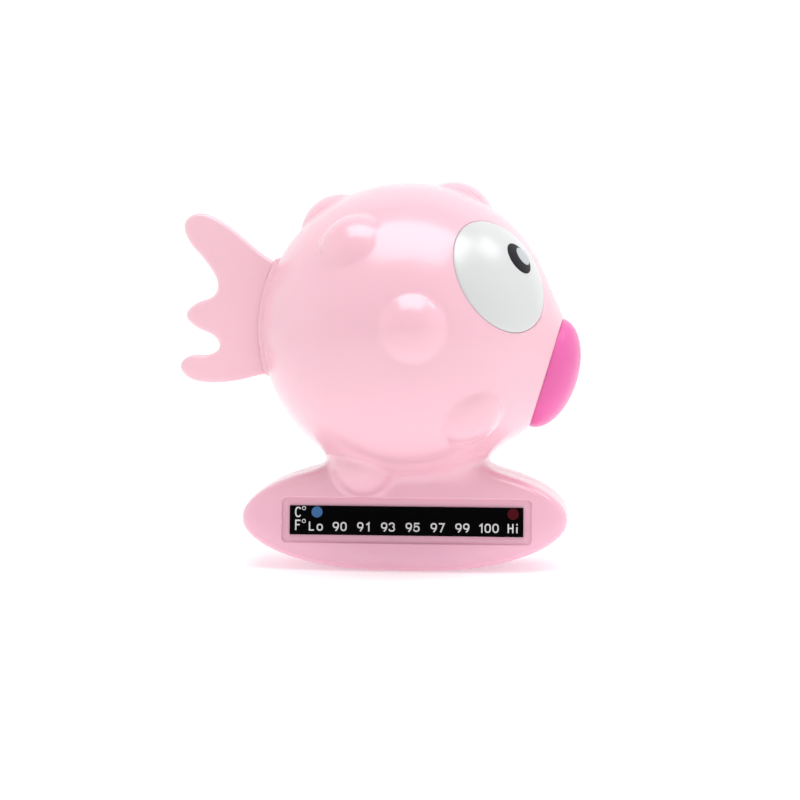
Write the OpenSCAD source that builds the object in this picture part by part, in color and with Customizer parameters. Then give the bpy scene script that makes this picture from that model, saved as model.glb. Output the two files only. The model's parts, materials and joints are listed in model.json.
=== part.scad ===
// Floating bath thermometer shaped as a round fish on an oval base.
// Two half shells are welded along the plane y = 0. They hold the tail fin, the mouth and both eyes, and a
// steel bar in the base keeps the float upright with its liquid-crystal strip under water.
// Frame: origin at the centre of the flat foot, +X towards the mouth, +Z up, and -Y is the strip's side.

/* [Body] */
// Diameter of the round body
body_d = 87.6; // [84:0.2:90]
// Height of the body's centre above the foot
body_z = 70.6; // [69:0.1:72]
// Distance of the body's centre ahead of the foot's centre
body_x = 0.7; // [0:0.1:2]
// Wall thickness of the half shells
wall = 2; // [1.6:0.1:2.4]

/* [Base] */
// Length of the oval base
base_l = 97; // [94:0.5:100]
// Height of the base's widest line above the foot
base_z = 15; // [14.5:0.1:15.5]
// Height of the oval above its widest line
base_up = 17.3; // [16.5:0.1:18]
// Depth of the oval below its widest line, before the foot is cut flat
base_down = 15.8; // [15.6:0.1:16.4]
// Thickness of the base at its widest line
base_t = 29.2; // [28:0.2:31]
// Angle at which each face of the base leans back
lean = 7; // [4:0.5:9]

/* [Skin bumps] */
// Width of a bump where it leaves the body
bump_w = 19; // [16:0.5:22]
// Height of a bump above the body
bump_h = 3.5; // [2:0.1:4]

/* [Face] */
// Diameter of an eye
eye_w = 34.6; // [33:0.2:36]
// Height of the eye's dome
eye_dome = 4.8; // [4:0.1:6]
// Diameter of the pupil
pupil_w = 10; // [8:0.2:11]
// Diameter of the light spot on the pupil
glint_w = 5.8; // [4:0.2:6.2]
// Diameter of the mouth
mouth_w = 33.6; // [31:0.2:34]
// How far the mouth stands out
mouth_h = 9.4; // [7:0.2:11]

/* [Tail] */
// Thickness of the tail fin
tail_t = 2.8; // [2.4:0.1:3.2]

/* [Strip] */
// Length of the liquid-crystal strip
strip_l = 69; // [66:0.5:70]
// Height of the strip
strip_h = 8.6; // [8:0.1:9.4]
// Depth of the recess that holds the strip
recess_d = 1.3; // [1:0.1:1.5]

/* [Hidden] */
$fn = 96;
eps = 0.02;
big = 200;

body_r = body_d / 2;
void_r = body_r - wall;

// Eyes and mouth: directions from the body's centre, and distances along them
eye_az = 40.5;
eye_el = 24.3;
eye_seat = 39.2;
eye_rim = 40.5;
eye_dome_r = (pow(eye_w / 2, 2) + pow(eye_dome, 2)) / (2 * eye_dome);
eye_dome_c = eye_rim + eye_dome - eye_dome_r;
eye_boss_r = 20;
eye_boss_top = 38.9;
eye_boss_t = 2.3;
pupil_az = 28.2;
pupil_el = 30.4;
glint_az = 23.4;
glint_el = 31.3;
stem_r = 3;
stem_end = 33.6;
clip_t = 0.8;
clip_r = 6;
mouth_el = -16.8;
seam_turn = 50;
ball_turn = 205;
mouth_seat = 42.9;
mouth_lip = 0.4;
snout_foot = 35;
snout_flare = 8;
mouth_boss_r = 12;
mouth_boss_t = 4;
mouth_stem_r = 5;
mouth_collar_r = 8;
mouth_collar_t = 2;

// Seals: section radius of the rings, and the radius of each ring's centre line
eye_ring = 0.6;
eye_ring_r = 4.3;
mouth_ring = 0.7;
mouth_ring_r = mouth_stem_r + mouth_ring;

// Bumps as [azimuth, elevation] from the body's centre, then the two lumps where the body meets the base
bumps = [[-84, 3], [-116, 39], [-54, -34], [172, 54], [24, 66],
    [96, 6], [125, 38], [62, -28], [118, -34]];
feet = [[-11.5, -9, 31], [10, 9, 31]];
foot_r = 10.2;
bump_foot = sqrt(pow(body_r, 2) - pow(bump_w / 2, 2));
bump_rise = body_r + bump_h - bump_foot;
bump_r = (pow(bump_w / 2, 2) + pow(bump_rise, 2)) / (2 * bump_rise);
bump_c = body_r + bump_h - bump_r;

// Base: the section of the base is a superellipse of this power, so its faces are nearly flat
pod_power = 8;
pod_turns = [0, 2, 12, 30, 48, 63, 75, 83];
pod_sides = 56;
neck_r = 8;

// Tail: outline in the plane y = 0 as control points of a smooth curve, tip to tip, then its root
tail_outline = [
    [-38, 90], [-43.5, 93.2], [-50, 99], [-56, 103.6], [-62.5, 106.2], [-67.5, 103.2], [-66, 97.2],
    [-60.5, 91.4], [-56.2, 84.6], [-58, 80.2], [-63.8, 78.8], [-67.4, 74.9], [-63.6, 71],
    [-58, 69.2], [-55.8, 65.4], [-59.2, 62.7], [-65.6, 63.2], [-69.4, 59.8], [-66, 55.4],
    [-59, 54.4], [-51, 55.2], [-44, 57.2], [-38, 58]];
tail_steps = 5;
collar_h = 1.4;
collar_y = 3.4;
collar_z = [57, 92];
tab_z = [58.5, 85.5];
tab_x = -36.5;
tee_t = 2;
tee_y = 3.2;
tail_boss_y = 4.4;

// Recess, strip layers (heights above the recess floor), and the row of cells and its centre on the strip
face_x = 1;
face_z = 15.1;
recess_l = strip_l + 4.6;
recess_h = strip_h + 4.6;
recess_r = 1.5;
glue_t = 0.2;
film_t = 0.2;
ink_t = 0.1;
cell_pitch = 7.27;
cell_count = 7;
cell_w = 5.2;
cell_h = 2.6;
row_x = 2.1;
row_y = 2.4;
spot_r = 1.65;
spot_x = [-28.5, 29.4];

// Ballast bar, its pad and its two screws
bar_l = 54;
bar_t = 10;
bar_z = [4.5, 13.5];
pad_l = 28;
screw_x = 20;
screw_z = 9;
screw_r = 1.5;
screw_hole_r = 1.7;
screw_len = 14.5;
screw_head_r = 2.75;
screw_head_t = 1.8;
boss_r = 3.5;

// Weld tongue and alignment pegs
tongue_w = 0.7;
tongue_h = 0.8;
tongue_gap = 0.05;
tongue_arcs = [[24, 126], [208, 24]];
peg_r = 1.5;
peg_h = 3;
peg_gap = 0.1;
peg_boss_r = 3;
peg_boss_l = 12;
peg_ring_r = 38.3;
body_pegs = [55, 125];
base_pegs = [-41, 41];

// ---- placing helpers ----

// Moves to the body's centre
module at_body() {
    translate([body_x, 0, body_z]) children();
}

// Ball about the body's centre, turned so that it doesn't start on the parting plane
module body_ball(r) {
    at_body() rotate([0, 0, ball_turn]) sphere(r);
}

// Turns local +Z to the direction with this azimuth (from +X towards +Y) and elevation
module aim(az, el) {
    rotate([0, 90 - el, az]) children();
}

// Eye frame on one side: side is -1 for the right (-Y) eye and 1 for the left one
module at_eye(side) {
    at_body() aim(side * eye_az, eye_el) children();
}

// Frame of a disc let into the eye's dome: its origin is the centre of the dome's sphere
module at_dome(side, az, el) {
    at_eye(side) translate([0, 0, eye_dome_c])
        aim_back(side) aim(side * az, el) children();
}

// Undoes the turn of the eye frame
module aim_back(side) {
    rotate([0, eye_el - 90, 0]) rotate([0, 0, -side * eye_az]) children();
}

// Mouth frame, turned about its own axis so that no round face starts on the parting plane
module at_mouth() {
    at_body() aim(0, mouth_el) rotate([0, 0, seam_turn]) children();
}

// Frame on the strip face: local +Z is the face's normal and +Y runs up the face
module at_face() {
    translate([face_x, -half_depth(face_z), face_z]) rotate([90 - lean, 0, 0]) children();
}

// Keeps the half on one side of the parting plane
module keep_side(side) {
    intersection() {
        children();
        translate([-big / 2, side < 0 ? -big : 0, -eps]) cube([big, big, big]);
    }
}

// ---- shared shapes ----

// Half the thickness of the leaning base at height z
function half_depth(z) = base_t / 2 - tan(lean) * (z - base_z);

// Point of the half base on turn t (0 at the parting plane, 90 on the face) and angle a round the oval
function pod_point(t, a, inset, skin) =
    let (
        grow = pow(cos(t), 2 / pod_power),
        rise = pow(sin(t), 2 / pod_power),
        z = base_z + grow * sin(a) * ((a < 180 ? base_up : base_down) - inset)
    )
    [grow * cos(a) * (base_l / 2 - inset), -rise * (half_depth(z) - skin), z];

// Right half of the base as a closed solid, inset from the oval and thinned by skin on the face
module half_pod(inset, skin) {
    n = pod_sides;
    last = len(pod_turns) - 1;
    points = [for (t = pod_turns) for (j = [0:n - 1]) pod_point(t, 360 * j / n, inset, skin)];
    sides = [for (i = [0:last - 1]) for (j = [0:n - 1])
        let (k = (j + 1) % n)
        each [[i * n + j, (i + 1) * n + k, i * n + k], [i * n + j, (i + 1) * n + j, (i + 1) * n + k]]];
    back = [for (j = [0:n - 1]) j];
    face = [for (j = [n - 1:-1:0]) last * n + j];
    polyhedron(points, concat([back], sides, [face]));
}

// Half of the base on the given side
module pod(side, inset, skin) {
    intersection() {
        mirror([0, side < 0 ? 0 : 1, 0]) half_pod(inset, skin);
        translate([-big / 2, -big / 2, inset]) cube(big);
    }
}

// Round bumps on the body and the two lumps over the base
module skin_bumps() {
    for (b = bumps) at_body() aim(b[0], b[1]) translate([0, 0, bump_c]) sphere(bump_r);
    for (f = feet) translate(f) sphere(foot_r);
}

// Raised ring that carries the mouth
module snout() {
    rim_r = mouth_w / 2 + mouth_lip;
    at_mouth() translate([0, 0, snout_foot])
        cylinder(h = mouth_seat - snout_foot, r1 = rim_r + snout_flare, r2 = rim_r);
}

// Raised collar round the root of the tail
module collar() {
    intersection() {
        body_ball(body_r + collar_h);
        translate([-big / 2, -collar_y, collar_z[0]])
            cube([big / 2 - 25, 2 * collar_y, collar_z[1] - collar_z[0]]);
    }
}

// Outer form of one half, before it is cut at the parting plane
module outer_form(side) {
    body_ball(body_r);
    skin_bumps();
    snout();
    collar();
    pod(side, 0, 0);
}

// Air space of one half
module air_space(side) {
    body_ball(void_r);
    pod(side, wall, wall + 0.6);
    translate([0, 0, base_z]) cylinder(h = body_z - base_z, r = neck_r);
}

// Arcs of tongue between the half shells: grow widens them into the groove, and back sinks them below y = 0
module weld_arcs(grow, back) {
    mid = body_r - wall / 2;
    half = tongue_w / 2 + grow;
    for (arc = tongue_arcs)
        at_body() rotate([90, 0, 0]) rotate([0, 0, arc[0]])
            rotate_extrude(angle = arc[1])
                translate([mid - half, -tongue_h - grow]) square([2 * half, tongue_h + grow + back]);
}

// Places children on the parting plane at every alignment peg, with local +Z towards the side
module at_pegs(side) {
    for (a = body_pegs)
        translate([body_x + peg_ring_r * cos(a), 0, body_z + peg_ring_r * sin(a)])
            rotate([-side * 90, 0, 0]) children();
    for (x = base_pegs) translate([x, 0, base_z]) rotate([-side * 90, 0, 0]) children();
}

// Bosses inside one half: eye seat, mouth seat, tail clamp and peg bosses
module inner_bosses(side) {
    at_eye(side) translate([0, 0, eye_boss_top - eye_boss_t]) cylinder(h = eye_boss_t, r = eye_boss_r);
    at_mouth() translate([0, 0, mouth_seat - mouth_boss_t]) cylinder(h = mouth_boss_t, r = mouth_boss_r);
    intersection() {
        body_ball(body_r);
        translate([-big / 2, -tail_boss_y, tab_z[0]])
            cube([big / 2 + tab_x, 2 * tail_boss_y, tab_z[1] - tab_z[0]]);
    }
    at_pegs(side) cylinder(h = peg_boss_l, r = peg_boss_r);
}

// Everything that one half gives way to: eye, mouth and tail
module fitting_cuts(side) {
    at_eye(side) {
        translate([0, 0, eye_seat]) cylinder(h = 20, r = eye_w / 2);
        translate([0, 0, eye_seat - 20]) cylinder(h = 21, r = stem_r);
        translate([0, 0, eye_seat - 2 * eye_ring]) cylinder(h = 2, r = eye_ring_r + eye_ring);
    }
    at_mouth() {
        translate([0, 0, mouth_seat]) cylinder(h = 20, r = mouth_w);
        translate([0, 0, mouth_seat - 20]) cylinder(h = 30, r = mouth_stem_r);
        translate([0, 0, mouth_seat - mouth_boss_t / 2 - mouth_ring])
            cylinder(h = 2 * mouth_ring, r = mouth_ring_r + mouth_ring);
    }
    tail_tab();
}

// One half shell without the features that only one side has
module half_shell(side) {
    keep_side(side)
        difference() {
            union() {
                difference() {
                    outer_form(side);
                    air_space(side);
                }
                inner_bosses(side);
            }
            fitting_cuts(side);
        }
}

// ---- half shells ----

// Right half: strip recess, ballast bosses, weld tongue and pegs
module shell_right() {
    color([0.98, 0.82, 0.86])
        difference() {
            union() {
                half_shell(-1);
                weld_arcs(0, 0.5);
                at_pegs(1) cylinder(h = peg_h, r = peg_r);
                for (x = [-screw_x, screw_x])
                    translate([x, -bar_t / 2, screw_z]) rotate([90, 0, 0])
                        cylinder(h = half_depth(screw_z) - bar_t / 2 - recess_d - 0.3, r = boss_r);
            }
            for (x = [-screw_x, screw_x])
                translate([x, -bar_t / 2 + 1, screw_z]) rotate([90, 0, 0])
                    cylinder(h = screw_len - bar_t + 1, r = screw_r);
            recess();
        }
}

// Left half: groove and sockets
module shell_left() {
    color([0.98, 0.82, 0.86])
        difference() {
            half_shell(1);
            weld_arcs(tongue_gap, 1);
            at_pegs(1) translate([0, 0, -1]) cylinder(h = peg_h + peg_gap + 1, r = peg_r + peg_gap);
        }
}

// Rounded rectangle centred on the origin
module round_rect(l, h, r) {
    square([l - 2 * r, h], center = true);
    square([l, h - 2 * r], center = true);
    for (x = [-1, 1], y = [-1, 1])
        translate([x * (l / 2 - r), y * (h / 2 - r)]) circle(r, $fn = 32);
}

// Space of the strip's recess
module recess() {
    at_face() translate([0, 0, -recess_d])
        linear_extrude(height = 5) round_rect(recess_l, recess_h, recess_r);
}

// ---- tail ----

// Point at u (0 to 1) on the quadratic curve between the middles of two sides of a control polygon
function bend(a, b, c, u) = (1 - u) * (1 - u) * (a + b) / 2 + 2 * u * (1 - u) * b + u * u * (b + c) / 2;

// Smooth open curve through a control polygon, with its end points kept
function smooth(p, steps) = concat(
    [p[0]],
    [for (i = [1:len(p) - 2]) for (s = [0:steps - 1]) bend(p[i - 1], p[i], p[i + 1], s / steps)],
    [(p[len(p) - 2] + p[len(p) - 1]) / 2, p[len(p) - 1]]);

// Tab and T-head at the root of the tail, clamped between the half shells
module tail_tab() {
    height = tab_z[1] - tab_z[0];
    translate([tab_x - 12, -tail_t / 2, tab_z[0]]) cube([12 + eps, tail_t, height]);
    translate([tab_x, -tee_y, tab_z[0]]) cube([tee_t, 2 * tee_y, height]);
}

// Flat three-lobed tail fin
module tail_fin() {
    color([0.95, 0.76, 0.82]) {
        difference() {
            translate([0, tail_t / 2, 0]) rotate([90, 0, 0])
                linear_extrude(height = tail_t) polygon(smooth(tail_outline, tail_steps));
            body_ball(body_r);
            collar();
        }
        tail_tab();
    }
}

// ---- mouth and eyes ----

// Dome of the mouth with its stem and inner collar
module mouth() {
    steps = 24;
    profile = [for (i = [0:steps]) let (t = 90 * i / steps) [mouth_w / 2 * cos(t), mouth_h * sin(t)]];
    color([0.96, 0.45, 0.72]) at_mouth() {
        translate([0, 0, mouth_seat]) rotate_extrude() polygon(concat([[0, 0]], profile));
        translate([0, 0, mouth_seat - mouth_boss_t - 0.5])
            cylinder(h = mouth_boss_t + 1, r = mouth_stem_r);
        translate([0, 0, mouth_seat - mouth_boss_t - mouth_collar_t])
            cylinder(h = mouth_collar_t, r = mouth_collar_r);
    }
}

// Ring seal lying in the plane of its frame
module ring_seal(r, section) {
    color([0.15, 0.15, 0.16]) rotate_extrude() translate([r, 0]) circle(section, $fn = 32);
}

module mouth_oring() {
    at_mouth() translate([0, 0, mouth_seat - mouth_boss_t / 2]) ring_seal(mouth_ring_r, mouth_ring);
}

// White of an eye: rim, low dome and hollow for the pupil, on a stem
module eye_white(side) {
    color([0.97, 0.97, 0.98])
        difference() {
            at_eye(side) {
                translate([0, 0, eye_seat]) cylinder(h = eye_rim - eye_seat, r = eye_w / 2);
                translate([0, 0, stem_end]) cylinder(h = eye_seat - stem_end + 0.5, r = stem_r);
                intersection() {
                    translate([0, 0, eye_dome_c]) sphere(eye_dome_r);
                    translate([0, 0, eye_rim - 0.5]) cylinder(h = eye_dome + 1, r = eye_w / 2);
                }
            }
            dome_disc(side, pupil_az, pupil_el, pupil_w / 2, -0.9, 5);
        }
}

// Disc that follows the dome, between two heights measured from the dome's surface
module dome_disc(side, az, el, r, low, high) {
    $fn = 256;
    intersection() {
        at_dome(side, az, el) translate([0, 0, eye_dome_r + low]) cylinder(h = 10, r = r);
        at_eye(side) translate([0, 0, eye_dome_c]) sphere(eye_dome_r + high);
    }
}

module eye_pupil(side) {
    color([0.08, 0.08, 0.1])
        difference() {
            dome_disc(side, pupil_az, pupil_el, pupil_w / 2, -0.9, 0.12);
            dome_disc(side, glint_az, glint_el, glint_w / 2, -0.45, 5);
        }
}

module eye_glint(side) {
    color([0.78, 0.8, 0.82])
        intersection() {
            dome_disc(side, glint_az, glint_el, glint_w / 2, -0.45, 0.2);
            dome_disc(side, pupil_az, pupil_el, pupil_w / 2, -0.9, 5);
        }
}

module eye_oring(side) {
    at_eye(side) translate([0, 0, eye_seat - eye_ring]) ring_seal(eye_ring_r, eye_ring);
}

// Push-on washer that holds an eye's stem inside the shell
module eye_clip(side) {
    color([0.75, 0.76, 0.78])
        at_eye(side) translate([0, 0, eye_boss_top - eye_boss_t - clip_t])
            difference() {
                cylinder(h = clip_t, r = clip_r);
                translate([0, 0, -1]) cylinder(h = clip_t + 2, r = stem_r);
            }
}

module eye_white_right() { eye_white(-1); }
module eye_white_left() { eye_white(1); }
module eye_pupil_right() { eye_pupil(-1); }
module eye_pupil_left() { eye_pupil(1); }
module eye_glint_right() { eye_glint(-1); }
module eye_glint_left() { eye_glint(1); }
module eye_oring_right() { eye_oring(-1); }
module eye_oring_left() { eye_oring(1); }
module eye_clip_right() { eye_clip(-1); }
module eye_clip_left() { eye_clip(1); }

// ---- liquid-crystal strip ----

// Layer of the strip: a sheet between two heights above the recess floor
module layer(l, h, low, t) {
    at_face() translate([-l / 2, -h / 2, low - recess_d]) cube([l, h, t]);
}

module strip_adhesive() {
    color([0.85, 0.8, 0.7]) layer(strip_l - 0.6, strip_h - 0.6, 0, glue_t);
}

module strip_backing() {
    color([0.03, 0.03, 0.03]) layer(strip_l, strip_h, glue_t, film_t);
}

// Places children on the backing, at x from the middle of the row of cells
module at_row(x) {
    at_face() translate([row_x + x, row_y, glue_t + film_t - recess_d]) children();
}

module strip_cells() {
    color([0.05, 0.06, 0.05])
        for (i = [0:cell_count - 1])
            at_row((i - (cell_count - 1) / 2) * cell_pitch)
                translate([-cell_w / 2, -cell_h / 2, 0]) cube([cell_w, cell_h, ink_t]);
}

// Round colour spot, flush with the face film
module spot(x) {
    at_row(x) cylinder(h = film_t, r = spot_r, $fn = 48);
}

module strip_lo_spot() {
    color([0.27, 0.5, 0.75]) spot(spot_x[0]);
}

module strip_hi_spot() {
    color([0.4, 0.1, 0.12]) spot(spot_x[1]);
}

// Printed film over the cells, with a round window for each spot
module strip_face() {
    color([0.1, 0.1, 0.1])
        difference() {
            layer(strip_l, strip_h, glue_t + film_t, film_t);
            strip_cells();
            strip_lo_spot();
            strip_hi_spot();
        }
}

// ---- ballast ----

module ballast_weight() {
    color([0.55, 0.56, 0.58])
        difference() {
            translate([-bar_l / 2, -bar_t / 2, bar_z[0]]) cube([bar_l, bar_t, bar_z[1] - bar_z[0]]);
            for (x = [-screw_x, screw_x])
                translate([x, bar_t, screw_z]) rotate([90, 0, 0]) cylinder(h = 2 * bar_t, r = screw_hole_r);
        }
}

module ballast_screws() {
    color([0.7, 0.71, 0.73])
        for (x = [-screw_x, screw_x])
            translate([x, bar_t / 2, screw_z]) rotate([90, 0, 0]) {
                cylinder(h = screw_len, r = screw_r);
                translate([0, 0, -screw_head_t]) cylinder(h = screw_head_t, r = screw_head_r);
            }
}

module ballast_pad() {
    color([0.2, 0.2, 0.22])
        translate([-pad_l / 2, -bar_t / 2, wall]) cube([pad_l, bar_t, bar_z[0] - wall]);
}

shell_right();
shell_left();
tail_fin();
mouth();
mouth_oring();
eye_white_right();
eye_white_left();
eye_pupil_right();
eye_pupil_left();
eye_glint_right();
eye_glint_left();
eye_oring_right();
eye_oring_left();
eye_clip_right();
eye_clip_left();
strip_adhesive();
strip_backing();
strip_cells();
strip_lo_spot();
strip_hi_spot();
strip_face();
ballast_weight();
ballast_screws();
ballast_pad();
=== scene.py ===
"""Looks of the fish-shaped floating thermometer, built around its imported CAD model.

The two half shells, the tail fin, the mouth and the eyes are replaced by finished meshes. The shells and the
tail are described by signed distance functions in millimetres, which give real fillets where shapes meet, and
are meshed by dual contouring. The strip's layers, seals, clips and ballast stay as the CAD made them, with
better materials.
"""

import json
import math

import bpy
import numpy as np
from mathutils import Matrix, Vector


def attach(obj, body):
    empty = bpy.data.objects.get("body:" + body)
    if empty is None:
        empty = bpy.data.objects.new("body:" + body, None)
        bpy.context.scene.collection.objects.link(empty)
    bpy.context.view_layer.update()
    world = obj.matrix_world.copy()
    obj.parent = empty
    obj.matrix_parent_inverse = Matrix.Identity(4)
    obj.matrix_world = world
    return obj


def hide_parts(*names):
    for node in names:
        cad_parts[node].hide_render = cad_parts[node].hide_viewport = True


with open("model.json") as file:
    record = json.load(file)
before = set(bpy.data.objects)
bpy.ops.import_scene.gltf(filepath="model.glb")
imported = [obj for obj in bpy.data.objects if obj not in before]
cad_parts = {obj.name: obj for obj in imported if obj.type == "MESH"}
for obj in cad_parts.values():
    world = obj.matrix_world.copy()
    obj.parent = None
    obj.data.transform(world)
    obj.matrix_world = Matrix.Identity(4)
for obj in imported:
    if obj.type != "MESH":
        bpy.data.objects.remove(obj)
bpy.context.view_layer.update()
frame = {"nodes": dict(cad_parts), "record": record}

MM = 0.001

# ---- dimensions in millimetres, as in the CAD model ----

BODY_R = 43.8
CENTRE = np.array([0.7, 0.0, 70.6])
WALL = 2.0
VOID_R = BODY_R - WALL

BASE_HALF = 48.5
BASE_Z = 15.0
BASE_UP = 17.3
BASE_DOWN = 15.8
BASE_HALF_T = 14.6
BASE_POWER = 8
LEAN = math.radians(7)
FACE_SKIN = WALL + 0.6
NECK_R = 8.0

BUMPS = [(-84, 3), (-116, 39), (-54, -34), (172, 54), (24, 66), (96, 6), (125, 38), (62, -28), (118, -34)]
BUMP_W, BUMP_H = 19.0, 3.5
FEET = [(-11.5, -9.0, 31.0), (10.0, 9.0, 31.0)]
FOOT_R = 10.2

EYE_AZ, EYE_EL = 40.5, 24.3
EYE_R = 17.3
EYE_SEAT, EYE_RIM, EYE_DOME = 39.2, 40.5, 4.8
EYE_BOSS_R, EYE_BOSS_LOW = 20.0, 36.6
EYE_RING, EYE_RING_R = 0.6, 4.3
STEM_R, STEM_END = 3.0, 33.6
PUPIL_AZ, PUPIL_EL, PUPIL_R = 28.2, 30.4, 5.0
GLINT_AZ, GLINT_EL, GLINT_R = 23.4, 31.3, 2.9

MOUTH_EL = -16.8
MOUTH_SEAT, MOUTH_R, MOUTH_H, MOUTH_LIP = 42.9, 16.8, 9.4, 0.4
MOUTH_BOSS_R, MOUTH_BOSS_T = 12.0, 4.0
MOUTH_STEM_R, MOUTH_COLLAR_R, MOUTH_COLLAR_T = 5.0, 8.0, 2.0
MOUTH_RING = 0.7

TAIL_OUTLINE = [
    (-38, 90), (-43.5, 93.2), (-50, 99), (-56, 103.6), (-62.5, 106.2), (-67.5, 103.2), (-66, 97.2),
    (-60.5, 91.4), (-56.2, 84.6), (-58, 80.2), (-63.8, 78.8), (-67.4, 74.9), (-63.6, 71),
    (-58, 69.2), (-55.8, 65.4), (-59.2, 62.7), (-65.6, 63.2), (-69.4, 59.8), (-66, 55.4),
    (-59, 54.4), (-51, 55.2), (-44, 57.2), (-38, 58)]
TAIL_T = 2.8
COLLAR_H, COLLAR_Y = 1.4, 3.4
COLLAR_Z = (57.0, 92.0)
TAB_Z = (58.5, 85.5)
TAB_X, TAB_L = -36.5, 12.0
TEE_T, TEE_Y = 2.0, 3.2
TAIL_BOSS_Y = 4.4

STRIP_L, STRIP_H = 69.0, 8.6
STRIP_X, STRIP_Z = 1.0, 15.1
RECESS_D, RECESS_MARGIN, RECESS_R = 1.3, 4.6, 1.5
STRIP_TOP = 0.6
CELL_PITCH = 7.27

PEG_R, PEG_H, PEG_GAP = 1.5, 3.0, 0.1
PEG_BOSS_R, PEG_BOSS_L, PEG_RING_R = 3.0, 12.0, 38.3
BODY_PEGS = (55, 125)
BASE_PEGS = (-41, 41)

BAR_HALF_T = 5.0
SCREW_X, SCREW_Z, SCREW_R, SCREW_DEEP = 20.0, 9.0, 1.5, 9.5
BALLAST_BOSS_R, BALLAST_BOSS_GAP = 3.5, 0.3

# ---- finish of the mouldings: fillets and softened edges ----

BUMP_BLEND = 0.7
FOOT_BLEND = 1.6
BOSS_BLEND = 1.8
SNOUT_EDGE = 0.6
COLLAR_BLEND, COLLAR_EDGE, COLLAR_FRONT_X = 1.0, 0.8, -25.0
# The fillet at the neck grows from one value to the other over a span on each side of the middle
NECK_BLEND_FRONT, NECK_BLEND_SIDE = 3.6, 8.0
NECK_BLEND_START, NECK_BLEND_SPAN = 8.0, 14.0
FOOT_EDGE = 1.6
RECESS_EDGE = 0.45
SEAM_EDGE, SEAM_EDGE_DEPTH, SEAM_GAP = 0.5, 1.2, 0.02
SOCKET_R, SOCKET_CHAMFER_Z = EYE_R + 0.03, 39.9
TAIL_STEPS, TAIL_RIM_FLAT, TAIL_ROOT_GAP, TAIL_ROOT_EDGE, TAB_GAP = 6, 0.1, 0.03, 0.5, 0.05
FIT = 0.02
PUPIL_DEEP, PUPIL_PROUD = 0.9, 0.08
GLINT_DEEP, GLINT_PROUD = 0.43, 0.12

FINE = 0.14
COARSE = 0.87


# ---- directions and simple distance functions ----


def aim(azimuth, elevation):
    """Unit vector with this azimuth (from +X towards +Y) and elevation, in degrees."""
    a, e = math.radians(azimuth), math.radians(elevation)
    return np.array([math.cos(a) * math.cos(e), math.sin(a) * math.cos(e), math.sin(e)])


def smooth_union(a, b, k):
    """Union of two distance fields with a fillet of about k."""
    h = np.maximum(k - np.abs(a - b), 0) / k
    return np.minimum(a, b) - h * h * k / 4


def smooth_meet(a, b, k):
    """Intersection of two distance fields with an edge rounded by about k."""
    return -smooth_union(-a, -b, k)


def ball(p, centre, r):
    """Ball of radius r."""
    return np.sqrt(((p - np.asarray(centre)) ** 2).sum(-1)) - r


def along_axis(p, origin, axis):
    """Height along an axis from origin, and distance from it."""
    q = p - np.asarray(origin)
    t = q @ np.asarray(axis)
    return t, np.sqrt(np.maximum((q * q).sum(-1) - t * t, 0))


def rod(p, origin, axis, r, low, high):
    """Cylinder on an axis, between two heights."""
    t, radial = along_axis(p, origin, axis)
    return np.maximum(radial - r, np.maximum(low - t, t - high))


def slab_box(p, low, high):
    """Box between two corners."""
    low, high = np.asarray(low), np.asarray(high)
    q = np.abs(p - (low + high) / 2) - (high - low) / 2
    return np.sqrt((np.maximum(q, 0) ** 2).sum(-1)) + np.minimum(q.max(-1), 0)


BUMP_FOOT = math.sqrt(BODY_R**2 - (BUMP_W / 2) ** 2)
BUMP_RISE = BODY_R + BUMP_H - BUMP_FOOT
BUMP_R = ((BUMP_W / 2) ** 2 + BUMP_RISE**2) / (2 * BUMP_RISE)
BUMP_C = BODY_R + BUMP_H - BUMP_R
MOUTH_AXIS = aim(0, MOUTH_EL)
Y_AXIS = np.array([0.0, 1.0, 0.0])
Z_AXIS = np.array([0.0, 0.0, 1.0])


def eye_axis(side):
    """Direction of the eye on one side: -1 for the right (-Y) eye and 1 for the left."""
    return aim(side * EYE_AZ, EYE_EL)


def half_depth(z):
    """Half the thickness of the leaning base at height z."""
    return BASE_HALF_T - math.tan(LEAN) * (z - BASE_Z)


def pod(p, inset, skin):
    """Oval base with nearly flat leaning faces, inset from the oval and thinned by skin on the faces."""
    x, y, z = p[..., 0], p[..., 1], p[..., 2]
    rise = z - BASE_Z
    a = BASE_HALF - inset
    b = np.where(rise > 0, BASE_UP, BASE_DOWN) - inset
    d = half_depth(z) - skin
    oval = (x / a) ** 2 + (rise / b) ** 2
    depth = (y / d) ** 2
    n = BASE_POWER // 2
    total = np.maximum(oval**n + depth**n, 1e-12)
    level = total ** (1 / BASE_POWER)
    grow = level / total / BASE_POWER * n
    gx = grow * oval ** (n - 1) * 2 * x / a**2
    gy = grow * depth ** (n - 1) * 2 * y / d**2
    gz = grow * (oval ** (n - 1) * 2 * rise / b**2 + depth ** (n - 1) * 2 * y**2 / d**3 * math.tan(LEAN))
    return (level - 1) / np.maximum(np.sqrt(gx * gx + gy * gy + gz * gz), 0.01)


# ---- half shells ----


def head(p):
    """Body ball drawn out to the mouth's rim by a cone that touches it all round."""
    t, radial = along_axis(p, CENTRE, MOUTH_AXIS)
    rim = MOUTH_R + MOUTH_LIP
    touch = math.atan2(rim, MOUTH_SEAT) + math.acos(BODY_R / math.hypot(rim, MOUTH_SEAT))
    cone = (radial - rim) * math.sin(touch) + (t - MOUTH_SEAT) * math.cos(touch)
    far = np.sqrt(t * t + radial * radial)
    return np.where(t > far * math.cos(touch), cone, far - BODY_R), t


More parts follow.
